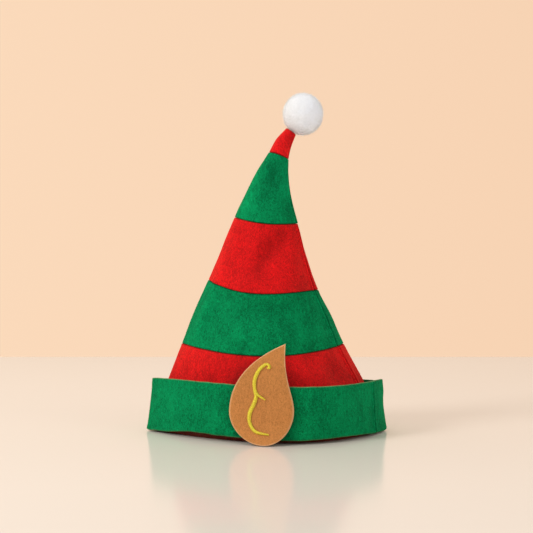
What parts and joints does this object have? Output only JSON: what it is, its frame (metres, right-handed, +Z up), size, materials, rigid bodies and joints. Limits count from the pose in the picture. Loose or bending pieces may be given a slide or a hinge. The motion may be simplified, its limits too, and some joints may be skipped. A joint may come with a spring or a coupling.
{
  "type": "elf hat",
  "caption": "Striped felt cone hat with a turned-up cuff, felt ear patches with an embroidered line, and a round plush pompom on its leaning tip.",
  "frame": {"origin": "middle of the hat's box, on the surface that the hem stands on", "axes": "+Z up the crown, +X towards the back seam, -Y towards the near ear"},
  "size_m": [0.2396, 0.1914, 0.3368],
  "materials": {
    "red_felt": "matte felt, mottled by its fibres",
    "green_felt": "matte felt, mottled by its fibres",
    "tan_felt": "matte felt with a paler cut edge",
    "yellow_thread": "satin embroidery thread, a little glossy",
    "white_pile": "dense short plush pile"
  },
  "bodies": {
    "root": {"crown_stripe_1_red": "red_felt", "crown_stripe_2_green": "green_felt", "crown_stripe_3_red": "red_felt", "crown_stripe_4_green": "green_felt", "crown_tip_red": "red_felt", "cuff": "green_felt", "ear_near": "tan_felt", "ear_near_embroidery": "yellow_thread", "ear_far": "tan_felt", "ear_far_embroidery": "yellow_thread", "pompom": "white_pile"}
  },
  "joints": []
}
